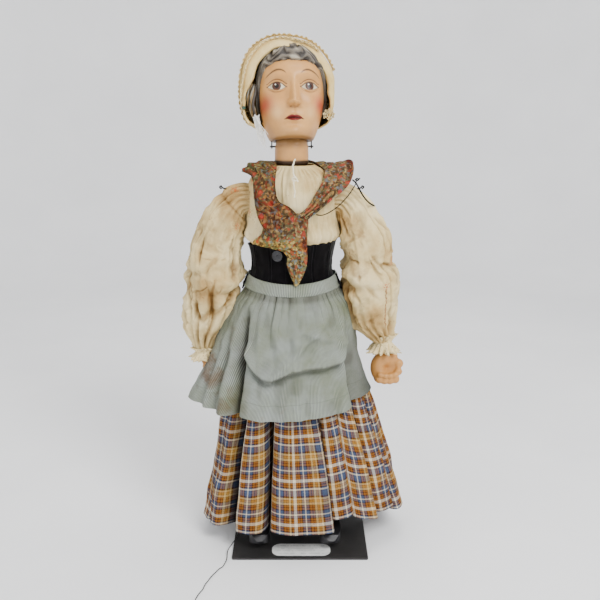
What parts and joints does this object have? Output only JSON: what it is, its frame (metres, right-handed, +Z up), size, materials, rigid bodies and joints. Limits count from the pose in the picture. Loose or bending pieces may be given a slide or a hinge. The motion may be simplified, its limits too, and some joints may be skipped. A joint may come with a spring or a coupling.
{
  "type": "marionette puppet",
  "caption": "Costumed wooden marionette with a painted doll head, cloth sleeves, plaid skirt and apron, jointed at neck, arms, waist and legs, held on a square display stand.",
  "frame": {"origin": "centre of the underside of the square base plate", "axes": "+Z up; the figure faces -Y; +X is the figure's own left"},
  "size_m": [0.2999, 0.27, 0.6609],
  "materials": {
    "apron_cotton": "fine pinstriped cotton",
    "bare_wood": "bare carved limewood",
    "bead_green": "dark green bead",
    "black_velvet": "black velvet",
    "black_wire": "blackened wire",
    "blouse_cotton": "aged cream cotton with small sprigs",
    "bonnet_cotton": "cream cotton",
    "button_black": "black button",
    "cream_cord": "cotton cord",
    "kerchief_print": "printed cotton",
    "lace": "cream lace",
    "painted_hair": "carved wood, painted grey",
    "painted_wood": "carved wood, oil painted flesh tone",
    "paper": "aged paper",
    "plaid_cotton": "woven plaid cotton",
    "plate_black": "satin black paint, scuffed",
    "shoe_black": "carved wood, black paint",
    "stand_black": "black paint",
    "steel": "plain steel",
    "thread_black": "waxed black thread",
    "wool_white": "white wool"
  },
  "bodies": {
    "stand": {"base_plate": "plate_black", "stand_tube": "stand_black", "flange_screws": "steel", "thumb_screw": "steel", "paper_label": "paper", "loose_thread": "thread_black"},
    "pelvis": {"lift_rod": "steel", "saddle": "stand_black", "pelvis_block": "bare_wood", "hip_axle": "steel", "waist_pin": "steel", "skirt": "plaid_cotton", "apron_panel": "apron_cotton", "apron_band": "apron_cotton"},
    "chest": {"chest_block": "bare_wood", "neck_pivot": "steel", "shoulder_eyes": "steel", "blouse": "blouse_cotton", "corset": "black_velvet", "corset_button": "button_black", "kerchief": "kerchief_print", "neck_drawstring": "cream_cord", "string_ends": "thread_black"},
    "neck": {"neck_block": "painted_wood", "neck_pin": "black_wire"},
    "head": {"head_block": "painted_wood", "jaw_eyes": "black_wire", "hair": "painted_hair", "hair_wisps": "wool_white", "bonnet": "bonnet_cotton", "bonnet_lace": "lace", "bonnet_bead": "bead_green"},
    "shoulder_link_right": {"shoulder_link_right": "steel", "shoulder_pin_right": "steel"},
    "upper_arm_right": {"upper_arm_right": "bare_wood", "elbow_pin_right": "steel", "sleeve_right": "blouse_cotton"},
    "forearm_right": {"forearm_right": "bare_wood", "cuff_right": "lace"},
    "hand_right": {"hand_right": "painted_wood"},
    "shoulder_link_left": {"shoulder_link_left": "steel", "shoulder_pin_left": "steel"},
    "upper_arm_left": {"upper_arm_left": "bare_wood", "elbow_pin_left": "steel", "sleeve_left": "blouse_cotton"},
    "forearm_left": {"forearm_left": "bare_wood", "cuff_left": "lace"},
    "hand_left": {"hand_left": "painted_wood"},
    "thigh_right": {"thigh_right": "bare_wood", "knee_pin_right": "steel"},
    "shin_right": {"shin_right": "bare_wood"},
    "foot_right": {"shoe_right": "shoe_black", "ankle_pin_right": "steel"},
    "thigh_left": {"thigh_left": "bare_wood", "knee_pin_left": "steel"},
    "shin_left": {"shin_left": "bare_wood"},
    "foot_left": {"shoe_left": "shoe_black", "ankle_pin_left": "steel"}
  },
  "joints": [
    {"name": "stand_height", "type": "slide", "parent": "stand", "child": "pelvis", "axis": [0, 0, 1], "range_m": [0, 0.045], "deforming": ["loose_thread"]},
    {"name": "waist_bend", "type": "hinge", "parent": "pelvis", "child": "chest", "pos_m": [-0.0105, 0, 0.382], "axis": [1, 0, 0], "range_deg": [-8, 12], "deforming": ["corset", "kerchief"]},
    {"name": "neck_turn", "type": "hinge", "parent": "chest", "child": "neck", "pos_m": [-0.0105, 0, 0.5], "axis": [0, 0, 1], "range_deg": [-40, 40]},
    {"name": "head_nod", "type": "hinge", "parent": "neck", "child": "head", "pos_m": [-0.0105, 0, 0.526], "axis": [0.9945, 0.1045, 0], "range_deg": [-15, 15]},
    {"name": "arm_swing_right", "type": "hinge", "parent": "chest", "child": "shoulder_link_right", "pos_m": [-0.0555, 0, 0.462], "axis": [-1, 0, 0], "range_deg": [-18, 40]},
    {"name": "arm_raise_right", "type": "hinge", "parent": "shoulder_link_right", "child": "upper_arm_right", "pos_m": [-0.0805, 0, 0.462], "axis": [0, 1, 0], "range_deg": [0, 35], "deforming": ["sleeve_right"]},
    {"name": "elbow_right", "type": "hinge", "parent": "upper_arm_right", "child": "forearm_right", "pos_m": [-0.118, 0, 0.357], "axis": [-1, 0, 0], "range_deg": [0, 60], "deforming": ["sleeve_right"]},
    {"name": "wrist_turn_right", "type": "hinge", "parent": "forearm_right", "child": "hand_right", "pos_m": [-0.127, -0.004, 0.25], "axis": [0.0838, 0.0372, 0.9958], "range_deg": [-35, 35]},
    {"name": "arm_swing_left", "type": "hinge", "parent": "chest", "child": "shoulder_link_left", "pos_m": [0.0345, 0, 0.462], "axis": [-1, 0, 0], "range_deg": [-18, 40]},
    {"name": "arm_raise_left", "type": "hinge", "parent": "shoulder_link_left", "child": "upper_arm_left", "pos_m": [0.0595, 0, 0.462], "axis": [0, -1, 0], "range_deg": [0, 35], "deforming": ["sleeve_left"]},
    {"name": "elbow_left", "type": "hinge", "parent": "upper_arm_left", "child": "forearm_left", "pos_m": [0.108, 0, 0.366], "axis": [-1, 0, 0], "range_deg": [0, 60], "deforming": ["sleeve_left"]},
    {"name": "wrist_turn_left", "type": "hinge", "parent": "forearm_left", "child": "hand_left", "pos_m": [0.11, -0.006, 0.264], "axis": [-0.0196, 0.0587, 0.9981], "range_deg": [-35, 35]},
    {"name": "hip_right", "type": "hinge", "parent": "pelvis", "child": "thigh_right", "pos_m": [-0.0555, 0, 0.316], "axis": [-1, 0, 0], "range_deg": [-12, 22], "deforming": ["skirt", "apron_panel"]},
    {"name": "knee_right", "type": "hinge", "parent": "thigh_right", "child": "shin_right", "pos_m": [-0.0555, -0.012, 0.178], "axis": [1, 0, 0], "range_deg": [0, 40]},
    {"name": "shoe_tilt_right", "type": "hinge", "parent": "shin_right", "child": "foot_right", "pos_m": [-0.0575, -0.02, 0.041], "axis": [-1, 0, 0], "range_deg": [0, 18]},
    {"name": "hip_left", "type": "hinge", "parent": "pelvis", "child": "thigh_left", "pos_m": [0.0345, 0, 0.316], "axis": [-1, 0, 0], "range_deg": [-12, 22], "deforming": ["skirt", "apron_panel"]},
    {"name": "knee_left", "type": "hinge", "parent": "thigh_left", "child": "shin_left", "pos_m": [0.0345, -0.012, 0.178], "axis": [1, 0, 0], "range_deg": [0, 40]},
    {"name": "shoe_tilt_left", "type": "hinge", "parent": "shin_left", "child": "foot_left", "pos_m": [0.0365, -0.02, 0.041], "axis": [-1, 0, 0], "range_deg": [0, 18]}
  ]
}
